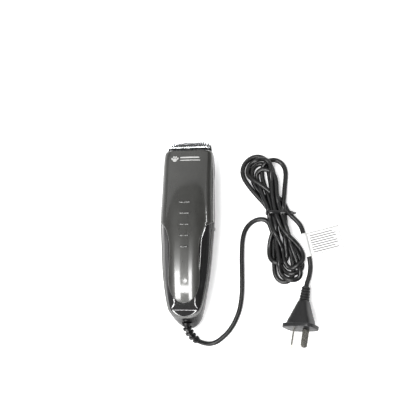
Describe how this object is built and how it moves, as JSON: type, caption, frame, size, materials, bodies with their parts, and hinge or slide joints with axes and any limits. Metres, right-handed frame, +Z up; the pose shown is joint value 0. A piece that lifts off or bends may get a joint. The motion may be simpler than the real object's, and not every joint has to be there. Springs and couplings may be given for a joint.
{
  "type": "electric pet clipper",
  "caption": "Corded vibrator clipper with a steel comb and cutter blade, a slide switch, a tied mains lead and a two-pin plug.",
  "frame": {"origin": "on the surface that the clipper lies on, under the middle of its own box without the lead", "axes": "+X to the right across the body, +Y along the body towards the blade, +Z up out of the front cover"},
  "size_m": [0.1744, 0.1977, 0.0382],
  "materials": {
    "charcoal_plastic": "satin, finely textured",
    "black_gloss": "polished",
    "gunmetal_gloss": "metallic paint under clear lacquer",
    "blade_steel": "ground",
    "zinc_steel": "zinc plated",
    "spring_steel": "bright drawn",
    "core_steel": "laminated, varnished",
    "black_plastic": "moulded",
    "nylon": "moulded",
    "copper": "enamelled wire",
    "cord_rubber": "satin PVC",
    "tie_plastic": "coated wire",
    "wire_plastic": "insulation",
    "label_paper": "coated paper",
    "plug_plastic": "moulded PVC",
    "pin_brass": "nickel plated"
  },
  "bodies": {
    "clipper": {"rear_housing": "charcoal_plastic", "inner_frame": "black_plastic", "screw_bridges": "black_plastic", "front_housing": "black_gloss", "front_cover": "gunmetal_gloss", "comb_blade": "blade_steel", "blade_screws": "zinc_steel", "blade_nut_plate": "zinc_steel", "tension_spring": "spring_steel", "pivot_pin": "spring_steel", "stator_core": "core_steel", "stator_screws": "zinc_steel", "coil_bobbin": "nylon", "coil_winding": "copper", "return_spring_left": "spring_steel", "return_spring_right": "spring_steel", "switch_body": "black_plastic", "housing_screws": "zinc_steel", "cord_clamp": "black_plastic", "clamp_screws": "zinc_steel", "cord_inner_end": "cord_rubber", "lead_wires": "wire_plastic", "strain_relief": "cord_rubber", "cord_free_run": "cord_rubber", "cord_hank": "cord_rubber", "cord_tie": "tie_plastic", "cord_tail": "cord_rubber", "cord_label": "label_paper", "plug_body": "plug_plastic", "plug_pins": "pin_brass"},
    "armature": {"armature": "core_steel", "drive_arm": "black_plastic"},
    "cutter": {"cutter_blade": "blade_steel", "cutter_guide": "black_plastic"},
    "switch": {"switch_button": "black_gloss"},
    "power_screw": {"power_screw": "black_plastic"}
  },
  "joints": [
    {"name": "armature_swing", "type": "hinge", "parent": "clipper", "child": "armature", "pos_m": [0, -0.0522, 0.02], "axis": [0, 0, 1], "range_deg": [-0.75, 0.75], "stiffness_Nm_per_rad": 0.5, "deforming": ["return_spring_left", "return_spring_right"]},
    {"name": "cutter_slide", "type": "slide", "parent": "clipper", "child": "cutter", "axis": [1, 0, 0], "range_m": [-0.00175, 0.00175]},
    {"name": "switch_slide", "type": "slide", "parent": "clipper", "child": "switch", "axis": [0, 1, 0], "range_m": [0, 0.004]},
    {"name": "power_screw_turn", "type": "hinge", "parent": "clipper", "child": "power_screw", "pos_m": [-0.02, 0.03, 0.018], "axis": [-1, 0, 0], "range_deg": [-180, 180]}
  ],
  "couplings": [
    {"joint": "cutter_slide", "follows": "armature_swing", "m_per_rad": -0.132}
  ]
}
